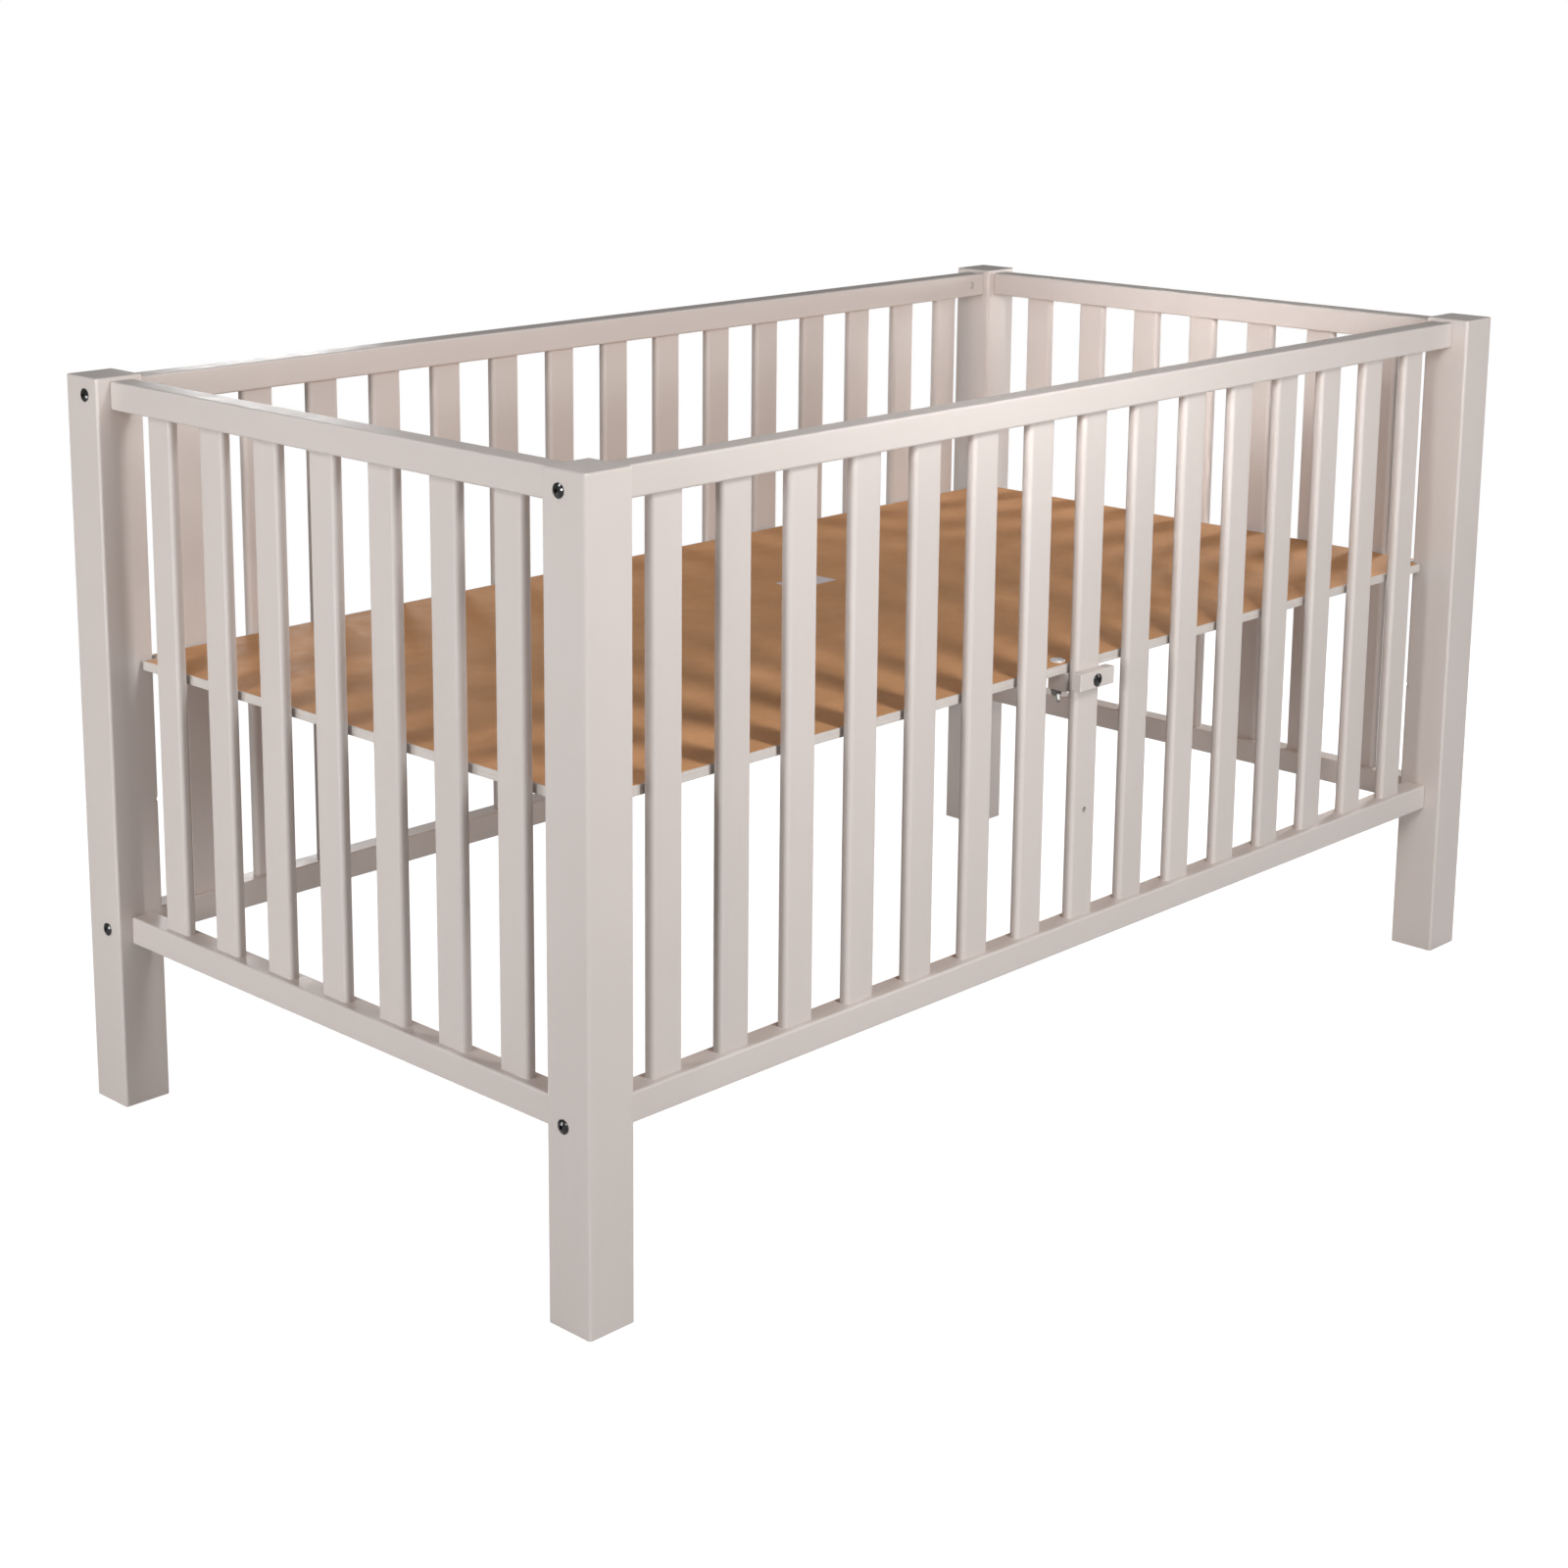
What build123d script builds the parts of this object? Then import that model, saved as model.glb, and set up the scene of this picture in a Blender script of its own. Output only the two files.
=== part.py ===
from build123d import *
import os
import math

os.makedirs("parts", exist_ok=True)

# Baby crib (cot) with four square posts, slatted sides and a flat bed base.
# Millimetres, +Z up. Origin: middle of the footprint, on the floor.
# X runs along the long sides, Y across. "left" is -X, "right" is +X,
# "front" is -Y, "rear" is +Y.

# ---------------------------------------------------------------- dimensions
LENGTH = 1495.0            # over the posts, along X
WIDTH = 794.0              # over the posts, along Y
POST = 56.0                # square section of a post
POST_H = 797.0             # height of a post
POST_EASE = 3.0            # rounding of the long edges of a post
POST_TOP_EASE = 2.0        # rounding of the top rim of a post

RAIL_T = 28.0              # thickness of every rail
RAIL_H = 30.0              # height of every rail
RAIL_EASE = 2.5            # rounding of the long edges of a rail
RAIL_END_EASE = 1.8       # rounding of the rail ends where they meet the posts
TOP_RAIL_Z = 763.0         # underside of the top rails
BOT_RAIL_Z = 183.0         # underside of the bottom rails
SIDE_INSET = 20.0          # outer face of a side rail, behind the post face
END_INSET = 16.0           # outer face of an end rail, behind the post face
TENON_L = 18.0             # end-rail tenon into the post, short of the side bolts
TENON_T = 14.0
TENON_H = 20.0

SLAT_W = 40.0              # width of a slat
SLAT_T = 12.0              # thickness of a slat
SLAT_R = 4.5               # rounding of the long edges of a slat
SLAT_IN = 12.0             # depth of a slat end in its rail
SIDE_SLATS = 15
END_SLATS = 7
END_PITCH = 89.5           # slat spacing in an end panel
TONGUE_W = 36.0            # tongue of a slat inside its mortise
TONGUE_T = 9.0

BOARD_Z = 483.0            # underside of the bed base, upper setting
BOARD_T = 10.0             # thickness of the bed base
BOARD_INSET_X = 40.0       # edge of the base, from the outer face of the posts
BOARD_INSET_Y = 43.0
NOTCH_GAP = 5.0            # clearance of a corner notch to its post
EDGE_BAND = 1.5            # thickness of the painted edging
SETTING_STEP = 145.5       # drop from the upper to the lower setting

BOLT_R = 3.0               # M6 hardware
BOLT_CLR = 3.3             # radius of a clearance hole for M6
BOLT_HEAD_R = 7.0
BOLT_HEAD_H = 3.2
HEX_AF = 4.0
BARREL_R = 5.0             # cross dowel (barrel nut)
BARREL_L = 16.0
BARREL_IN = 26.0           # axis of a barrel nut, from the end of the rail

CLAMP_Z = 477.0            # axis of a clamp bolt
OUT_BLOCK = (58.0, 12.0, 19.0)
OUT_BLOCK_Z = 468.5
IN_BLOCK = (46.0, 24.0, 20.0)
IN_BLOCK_Z = 463.0
BLOCK_EASE = 0.9
MID_SCREW_Y = 56.5         # mid-length screws, from the outer face of the posts
MID_SCREW_X = -17.5        # and beside the clamp bolt, so the two do not meet in the inner block

PEG_Z = 481.5              # axis of a corner support
PEG_IN = 34.0              # shank length inside the post
SHANK_OUT = 4.2            # round shank in front of the post corner
LUG_T = 3.0                # flat end of a corner support
LUG_W = 14.0
LUG_CENTRE = 22.6          # screw centre, along the diagonal from the post corner

SCREW_HEAD_R = 8.0         # flat-headed base screws
SCREW_HEAD_H = 2.4
NUT_BORE = 3.06            # running clearance of a wing nut on its screw

LABEL = (66.0, 38.0, 0.25)
LABEL_AT = (820.0, 503.0)  # from the outer corner of the front left post

X0, Y0 = -LENGTH / 2, -WIDTH / 2
IN_X = LENGTH / 2 - POST   # inner faces of the posts
IN_Y = WIDTH / 2 - POST
SIDE_Y = WIDTH / 2 - SIDE_INSET - RAIL_T / 2   # centre plane of the long sides
END_X = LENGTH / 2 - END_INSET - RAIL_T / 2    # centre plane of the ends
SIDE_GAP = (2 * IN_X - SIDE_SLATS * SLAT_W) / (SIDE_SLATS + 1)
SIDE_PITCH = SLAT_W + SIDE_GAP
BOARD_TOP = BOARD_Z + BOARD_T

parts = {}


def box(cx, cy, z0, sx, sy, sz):
    return Pos(cx, cy, z0 + sz / 2) * Box(sx, sy, sz)


def cyl(cx, cy, z0, r, h):
    return Pos(cx, cy, z0 + h / 2) * Cylinder(r, h)


def along(p, d, r, h):
    """Cylinder of radius r from point p along direction d, length h."""
    pl = Plane(origin=p, z_dir=d)
    return pl * Pos(0, 0, h / 2) * Cylinder(r, h)


# ---------------------------------------------------------------- slats
def slat(cx, cy, axis):
    """One slat with a rounded section and a tongue at each end.
    axis is the direction of its width."""
    z0, z1 = BOT_RAIL_Z + RAIL_H, TOP_RAIL_Z
    w, t = (SLAT_W, SLAT_T) if axis == "x" else (SLAT_T, SLAT_W)
    tw, tt = (TONGUE_W, TONGUE_T) if axis == "x" else (TONGUE_T, TONGUE_W)
    body = box(cx, cy, z0, w, t, z1 - z0)
    body = fillet(body.edges().filter_by(Axis.Z), SLAT_R)
    tongue = box(cx, cy, z0 - SLAT_IN, tw, tt, z1 - z0 + 2 * SLAT_IN)
    return body + tongue


def mortise(cx, cy, axis, top):
    """Pocket for a slat tongue in a top rail (top=True) or a bottom rail."""
    tw, tt = (TONGUE_W, TONGUE_T) if axis == "x" else (TONGUE_T, TONGUE_W)
    if top:
        return box(cx, cy, TOP_RAIL_Z - 1, tw, tt, SLAT_IN + 1)
    return box(cx, cy, BOT_RAIL_Z + RAIL_H - SLAT_IN, tw, tt, SLAT_IN + 1)


side_slat_x = [-IN_X + SIDE_GAP + SLAT_W / 2 + i * SIDE_PITCH for i in range(SIDE_SLATS)]
end_slat_y = [(i - (END_SLATS - 1) / 2) * END_PITCH for i in range(END_SLATS)]
CENTRE = SIDE_SLATS // 2

# ---------------------------------------------------------------- posts
corner = {"front_left": (-1, -1), "front_right": (1, -1),
          "rear_left": (-1, 1), "rear_right": (1, 1)}
BOLT_Z = (BOT_RAIL_Z + RAIL_H / 2, TOP_RAIL_Z + RAIL_H / 2)

for name, (sx, sy) in corner.items():
    cx = sx * (LENGTH / 2 - POST / 2)
    cy = sy * (WIDTH / 2 - POST / 2)
    p = box(cx, cy, 0, POST, POST, POST_H)
    p = fillet(p.edges().filter_by(Axis.Z), POST_EASE)
    p = chamfer(p.faces().sort_by(Axis.Z)[-1].edges(), POST_TOP_EASE * 0.6)
    p = chamfer(p.faces().sort_by(Axis.Z)[0].edges(), 0.8)
    # through holes for the side bolts, along X
    for z in BOLT_Z:
        p -= along((sx * (LENGTH / 2 + 2), sy * SIDE_Y, z), (-sx, 0, 0), BOLT_CLR, POST + 4)
    # mortises for the tenons of the end rails
    for z in (BOT_RAIL_Z, TOP_RAIL_Z):
        p -= box(sx * END_X, sy * (IN_Y + TENON_L / 2 - 0.5), z + (RAIL_H - TENON_H) / 2,
                 TENON_T, TENON_L + 1, TENON_H)
    # diagonal holes in the inner corner, upper and lower setting
    d = (sx / math.sqrt(2), sy / math.sqrt(2), 0)
    for z in (PEG_Z, PEG_Z - SETTING_STEP):
        p -= along((sx * IN_X - 4 * d[0], sy * IN_Y - 4 * d[1], z), d, BOLT_R, PEG_IN + 4)
    parts["post_" + name] = p

# ---------------------------------------------------------------- rails
def rounded_bar(cx, cy, z0, sx, sy, sz, axis, r):
    b = box(cx, cy, z0, sx, sy, sz)
    b = fillet(b.edges().filter_by(axis), r)
    ends = b.faces().sort_by(axis)
    return fillet(ends[0].edges() + ends[-1].edges(), RAIL_END_EASE)


for end, sx in (("left", -1), ("right", 1)):
    for level, z in (("top", TOP_RAIL_Z), ("bottom", BOT_RAIL_Z)):
        r = rounded_bar(sx * END_X, 0, z, RAIL_T, 2 * IN_Y, RAIL_H, Axis.Y, RAIL_EASE)
        r += box(sx * END_X, 0, z + (RAIL_H - TENON_H) / 2, TENON_T, 2 * (IN_Y + TENON_L), TENON_H)
        for y in end_slat_y:
            r -= mortise(sx * END_X, y, "y", level == "top")
        parts[f"end_{end}_{level}_rail"] = r
    parts[f"end_{end}_slats"] = Compound(children=[slat(sx * END_X, y, "y") for y in end_slat_y])

for side, sy in (("front", -1), ("rear", 1)):
    for level, z in (("top", TOP_RAIL_Z), ("bottom", BOT_RAIL_Z)):
        r = rounded_bar(0, sy * SIDE_Y, z, 2 * IN_X, RAIL_T, RAIL_H, Axis.X, RAIL_EASE)
        for x in side_slat_x:
            r -= mortise(x, sy * SIDE_Y, "x", level == "top")
        zc = z + RAIL_H / 2
        for sx in (-1, 1):
            # bolt hole in the end grain and the barrel-nut hole from the inner face
            r -= along((sx * (IN_X + 1), sy * SIDE_Y, zc), (-sx, 0, 0), BOLT_CLR, 42)
            r -= along((sx * (IN_X - BARREL_IN), sy * (SIDE_Y - RAIL_T / 2 - 1), zc), (0, sy, 0),
                       BARREL_R, 1 + RAIL_T / 2 + BARREL_L / 2)
        parts[f"side_{side}_{level}_rail"] = r
    parts[f"side_{side}_slats"] = Compound(children=[
        slat(x, sy * SIDE_Y, "x") for i, x in enumerate(side_slat_x) if i != CENTRE])
    c = slat(side_slat_x[CENTRE], sy * SIDE_Y, "x")
    for z in (CLAMP_Z, CLAMP_Z - SETTING_STEP):
        c -= along((0, sy * (SIDE_Y + 20), z), (0, -sy, 0), BOLT_CLR, 40)
    parts[f"side_{side}_centre_slat"] = c

# ---------------------------------------------------------------- side bolts
def dome_head(r, h, af, depth):
    """Low domed head, flat underside at z=0, with a hexagon socket on top."""
    # sphere cap on a short cylindrical rim
    rim = 0.9
    cap_h = h - rim
    big = (r * r + cap_h * cap_h) / (2 * cap_h)
    ball = Pos(0, 0, rim + cap_h - big) * Sphere(big)
    head = Pos(0, 0, h / 2) * Cylinder(r, h)
    head = head & ball
    socket = Pos(0, 0, h - depth) * extrude(RegularPolygon(af / 2, 6, major_radius=False), depth + 1)
    return head - socket


def bolt(p, d, shank, head_r=BOLT_HEAD_R, head_h=BOLT_HEAD_H):
    """Bolt whose head's underside is at p; d points from the head outwards."""
    b = dome_head(head_r, head_h, HEX_AF, 2.0)
    b += Pos(0, 0, -shank / 2) * Cylinder(BOLT_R, shank)
    return Plane(origin=p, z_dir=d, x_dir=(0, 0, 1)) * b


side_bolts, barrels = [], []
for sx in (-1, 1):
    for sy in (-1, 1):
        for z in BOLT_Z:
            side_bolts.append(bolt((sx * LENGTH / 2, sy * SIDE_Y, z), (sx, 0, 0), POST + BARREL_IN + 7))
            n = along((sx * (IN_X - BARREL_IN), sy * (SIDE_Y - BARREL_L / 2), z), (0, sy, 0),
                      BARREL_R, BARREL_L)
            n -= along((sx * (IN_X - BARREL_IN + 10), sy * SIDE_Y, z), (-sx, 0, 0), BOLT_R, 20)
            barrels.append(n)
parts["side_bolts"] = Compound(children=side_bolts)
parts["barrel_nuts"] = Compound(children=barrels)

# ---------------------------------------------------------------- mid-length clamps
clamp_bolts, inserts = [], []
SLAT_OUT = SIDE_Y + SLAT_T / 2
SLAT_INN = SIDE_Y - SLAT_T / 2
mid_y = WIDTH / 2 - MID_SCREW_Y
for side, sy in (("front", -1), ("rear", 1)):
    w, t, h = OUT_BLOCK
    o = box(0, sy * (SLAT_OUT + t / 2), OUT_BLOCK_Z, w, t, h)
    o = fillet(o.edges(), BLOCK_EASE)
    o -= along((0, sy * (SLAT_OUT + t + 1), CLAMP_Z), (0, -sy, 0), BOLT_CLR, t + 2)
    parts[f"clamp_outer_block_{side}"] = o
    w, t, h = IN_BLOCK
    i = box(0, sy * (SLAT_INN - t / 2), IN_BLOCK_Z, w, t, h)
    i = fillet(i.edges(), BLOCK_EASE)
    # threaded insert seat from the slat face, and the vertical screw hole beyond it
    i -= along((0, sy * (SLAT_INN + 1), CLAMP_Z), (0, -sy, 0), 4.5, 8)
    i -= cyl(MID_SCREW_X, sy * mid_y, IN_BLOCK_Z - 1, BOLT_CLR, h + 2)
    parts[f"clamp_inner_block_{side}"] = i
    clamp_bolts.append(bolt((0, sy * (SLAT_OUT + OUT_BLOCK[1]), CLAMP_Z), (0, sy, 0), OUT_BLOCK[1] + SLAT_T + 6.5))
    n = along((0, sy * SLAT_INN, CLAMP_Z), (0, -sy, 0), 4.5, 7.0)
    n -= along((0, sy * (SLAT_INN + 1), CLAMP_Z), (0, -sy, 0), BOLT_R, 9)
    inserts.append(n)
parts["clamp_bolts"] = Compound(children=clamp_bolts)
parts["clamp_insert_nuts"] = Compound(children=inserts)

# ---------------------------------------------------------------- bed base
bx = LENGTH / 2 - BOARD_INSET_X
by = WIDTH / 2 - BOARD_INSET_Y
nx = IN_X - NOTCH_GAP
ny = IN_Y - NOTCH_GAP


def base_outline(shrink):
    x, y, u, v = bx - shrink, by - shrink, nx - shrink, ny - shrink
    pts = [(-x, -v), (-u, -v), (-u, -y), (u, -y), (u, -v), (x, -v),
           (x, v), (u, v), (u, y), (-u, y), (-u, v), (-x, v)]
    return make_face(Polyline(*pts, close=True))


board = Pos(0, 0, BOARD_Z) * extrude(base_outline(EDGE_BAND), BOARD_T)
ring = Pos(0, 0, BOARD_Z) * extrude(base_outline(0), BOARD_T)
ring -= Pos(0, 0, BOARD_Z - 1) * extrude(base_outline(EDGE_BAND), BOARD_T + 2)
dg = LUG_CENTRE / math.sqrt(2)
corner_screw = [(sx * (IN_X - dg), sy * (IN_Y - dg)) for sx in (-1, 1) for sy in (-1, 1)]
mid_screw = [(MID_SCREW_X, sy * mid_y) for sy in (-1, 1)]
for (x, y) in corner_screw + mid_screw:
    board -= cyl(x, y, BOARD_Z - 1, BOLT_CLR, BOARD_T + 2)
parts["bed_base_board"] = board
parts["bed_base_edging"] = ring
lx, ly = X0 + LABEL_AT[0], Y0 + LABEL_AT[1]
parts["bed_base_blank_label"] = box(lx, ly, BOARD_TOP, *LABEL)


def base_screw(x, y, grip):
    """Flat-headed screw with a cross recess, hanging down through the base."""
    h = Pos(0, 0, SCREW_HEAD_H / 2) * Cylinder(SCREW_HEAD_R, SCREW_HEAD_H)
    h = fillet(h.faces().sort_by(Axis.Z)[-1].edges(), 1.6)
    for a in (0, 90):
        h -= Rot(0, 0, a + 20) * Pos(0, 0, SCREW_HEAD_H) * Box(6.0, 1.3, 2.6)
    h += Pos(0, 0, -grip / 2) * Cylinder(BOLT_R, grip)
    return Pos(x, y, BOARD_TOP) * h


NUT_H = 6.0
short_grip = BOARD_T + LUG_T + NUT_H + 4
long_grip = BOARD_T + IN_BLOCK[2] + NUT_H + 4
parts["base_screws_corner"] = Compound(children=[base_screw(x, y, short_grip) for x, y in corner_screw])
parts["base_screws_middle"] = Compound(children=[base_screw(x, y, long_grip) for x, y in mid_screw])

# ---------------------------------------------------------------- corner supports
lugs = []
for (sx, sy) in corner.values():
    d = Vector(sx / math.sqrt(2), sy / math.sqrt(2), 0)
    edge = Vector(sx * IN_X, sy * IN_Y, PEG_Z)
    # frame with local x along the diagonal, towards the middle of the crib
    pl = Plane(origin=edge, x_dir=(-d.X, -d.Y, 0), z_dir=(0, 0, 1))
    # the round shank stops before the notch of the base; its end is pressed flat
    shank = Pos((SHANK_OUT - PEG_IN) / 2, 0, 0) * Rot(0, 90, 0) * Cylinder(BOLT_R, PEG_IN + SHANK_OUT)
    neck = make_face(Polyline((0.5, -2.6), (LUG_CENTRE - 6, -LUG_W / 2), (LUG_CENTRE, -LUG_W / 2),
                              (LUG_CENTRE, LUG_W / 2), (LUG_CENTRE - 6, LUG_W / 2), (0.5, 2.6), close=True))
    flat = extrude(neck, LUG_T / 2, both=True)
    flat += Cylinder(LUG_W / 2, LUG_T).moved(Pos(LUG_CENTRE, 0, 0))
    flat = flat - Pos(LUG_CENTRE, 0, 0) * Cylinder(BOLT_CLR, LUG_T + 2)
    lugs.append(pl * (shank + flat))
parts["corner_supports"] = Compound(children=lugs)

# ---------------------------------------------------------------- wing nuts
def wing_nut():
    """Wing nut hanging below its seat (seat at z=0), wings along local X."""
    hub = Pos(0, 0, -NUT_H / 2) * Cone(5.0, 6.5, NUT_H)
    out = Polyline((3.6, -1.2), (9.0, -3.2), (12.6, -8.2), (12.9, -11.4), (11.2, -12.4),
                   (8.8, -11.2), (6.0, -7.2), (3.6, -5.6), close=True)
    wing = extrude(Plane.XZ * make_face(out), 1.25, both=True)
    wing = fillet(wing.edges().filter_by(Axis.Y), 0.7)
    n = hub + wing + wing.mirror(Plane.YZ)
    return n - Pos(0, 0, -NUT_H / 2) * Cylinder(NUT_BORE, NUT_H + 4)


nut = wing_nut()
tags = {(-1, -1): "front_left", (1, -1): "front_right", (-1, 1): "rear_left", (1, 1): "rear_right"}
for (x, y) in corner_screw:
    sx, sy = (1 if x > 0 else -1), (1 if y > 0 else -1)
    turn = {(-1, -1): -45, (1, -1): 45, (-1, 1): 45, (1, 1): -45}[(sx, sy)]
    parts["wing_nut_" + tags[(sx, sy)]] = Pos(x, y, PEG_Z - LUG_T / 2) * Rot(0, 0, turn) * nut
for (x, y) in mid_screw:
    turn = 50 if y < 0 else 28
    parts["wing_nut_" + ("front_middle" if y < 0 else "rear_middle")] = Pos(x, y, IN_BLOCK_Z) * Rot(0, 0, turn) * nut

# ---------------------------------------------------------------- export
for name, shape in parts.items():
    export_step(shape, f"parts/{name}.step")
print(len(parts), "nodes; side pitch %.2f gap %.2f; end gap %.2f" % (
    SIDE_PITCH, SIDE_GAP, END_PITCH - SLAT_W))
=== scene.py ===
import math

import bmesh
import bpy
import numpy as np
from mathutils import Matrix, Vector


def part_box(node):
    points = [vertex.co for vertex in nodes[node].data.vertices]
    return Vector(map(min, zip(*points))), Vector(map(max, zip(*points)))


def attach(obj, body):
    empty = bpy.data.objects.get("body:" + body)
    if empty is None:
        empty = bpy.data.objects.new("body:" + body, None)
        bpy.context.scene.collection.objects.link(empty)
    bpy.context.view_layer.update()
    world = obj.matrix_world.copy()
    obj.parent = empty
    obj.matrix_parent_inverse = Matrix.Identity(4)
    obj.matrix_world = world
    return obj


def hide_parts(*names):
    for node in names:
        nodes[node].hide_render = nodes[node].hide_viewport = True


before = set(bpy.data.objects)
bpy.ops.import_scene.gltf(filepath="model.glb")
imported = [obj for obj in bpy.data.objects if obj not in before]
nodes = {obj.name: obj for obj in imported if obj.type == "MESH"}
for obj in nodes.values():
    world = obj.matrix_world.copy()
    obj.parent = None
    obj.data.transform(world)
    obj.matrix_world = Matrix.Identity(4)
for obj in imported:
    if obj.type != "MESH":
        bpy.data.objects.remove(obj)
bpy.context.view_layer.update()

scene = bpy.context.scene
MM = 0.001

# ------------------------------------------------------------------ dimensions (metres, same as the part)
LENGTH, WIDTH, POST, POST_H = 1.495, 0.794, 0.056, 0.797
IN_X, IN_Y = LENGTH / 2 - POST, WIDTH / 2 - POST
RAIL_T, RAIL_H = 0.028, 0.030
TOP_Z, BOT_Z = 0.763, 0.183
SIDE_Y = WIDTH / 2 - 0.020 - RAIL_T / 2
END_X = LENGTH / 2 - 0.016 - RAIL_T / 2
SLAT_W, SLAT_T, SLAT_R, SLAT_IN = 0.040, 0.012, 0.0045, 0.012
TONGUE_W, TONGUE_T = 0.036, 0.009
GAP = (2 * IN_X - 15 * SLAT_W) / 16
SIDE_SLAT_X = [-IN_X + GAP + SLAT_W / 2 + i * (SLAT_W + GAP) for i in range(15)]
END_SLAT_Y = [(i - 3) * 0.0895 for i in range(7)]
STEP = 0.1455
CLAMP_Z, PEG_Z = 0.477, 0.4815
BOARD_Z, BOARD_T = 0.483, 0.010


# ------------------------------------------------------------------ node helpers
class Tree:
    """A small builder for shader node trees."""

    def __init__(self, name):
        self.m = bpy.data.materials.new(name)
        self.m.use_nodes = True
        self.t = self.m.node_tree
        self.t.nodes.clear()
        self.out = self.t.nodes.new("ShaderNodeOutputMaterial")
        self.b = self.t.nodes.new("ShaderNodeBsdfPrincipled")
        self.t.links.new(self.b.outputs[0], self.out.inputs[0])
        self.coord = self.t.nodes.new("ShaderNodeTexCoord").outputs["Object"]

    def new(self, kind, **values):
        n = self.t.nodes.new(kind)
        for k, v in values.items():
            setattr(n, k, v)
        return n

    def link(self, a, b):
        self.t.links.new(a, b)

    def mapping(self, scale, rot=(0, 0, 0), loc=(0, 0, 0), source=None):
        n = self.new("ShaderNodeMapping")
        n.inputs["Scale"].default_value = scale
        n.inputs["Rotation"].default_value = rot
        n.inputs["Location"].default_value = loc
        self.link(source or self.coord, n.inputs["Vector"])
        return n.outputs[0]

    def noise(self, vector, scale, detail=4, rough=0.55, distort=0.0, lac=2.0):
        n = self.new("ShaderNodeTexNoise")
        for k, v in (("Scale", scale), ("Detail", detail), ("Roughness", rough), ("Distortion", distort), ("Lacunarity", lac)):
            n.inputs[k].default_value = v
        self.link(vector, n.inputs["Vector"])
        return n.outputs[0]

    def remap(self, value, a, b, c, d, clamp=True):
        n = self.new("ShaderNodeMapRange", clamp=clamp)
        for i, v in enumerate((a, b, c, d)):
            n.inputs[i + 1].default_value = v
        self.link(value, n.inputs[0])
        return n.outputs[0]

    def math(self, op, a, b=None):
        n = self.new("ShaderNodeMath", operation=op)
        for i, v in enumerate((a, b)):
            if v is None:
                continue
            if isinstance(v, (int, float)):
                n.inputs[i].default_value = v
            else:
                self.link(v, n.inputs[i])
        return n.outputs[0]

    def mix(self, fac, a, b, mode="MIX"):
        n = self.new("ShaderNodeMix", data_type="RGBA", blend_type=mode)
        for sock, v in ((n.inputs[0], fac), (n.inputs[6], a), (n.inputs[7], b)):
            if isinstance(v, (int, float)):
                sock.default_value = v
            elif isinstance(v, tuple):
                sock.default_value = (*v, 1.0)
            else:
                self.link(v, sock)
        return n.outputs[2]

    def attribute(self, name):
        n = self.new("ShaderNodeAttribute")
        n.attribute_name = name
        return n.outputs["Fac"]

    def bump(self, height, distance, strength=1.0, normal=None):
        n = self.new("ShaderNodeBump")
        n.inputs["Distance"].default_value = distance
        n.inputs["Strength"].default_value = strength
        self.link(height, n.inputs["Height"])
        if normal is not None:
            self.link(normal, n.inputs["Normal"])
        return n.outputs[0]


PAINT = (0.672, 0.608, 0.575)


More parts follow.
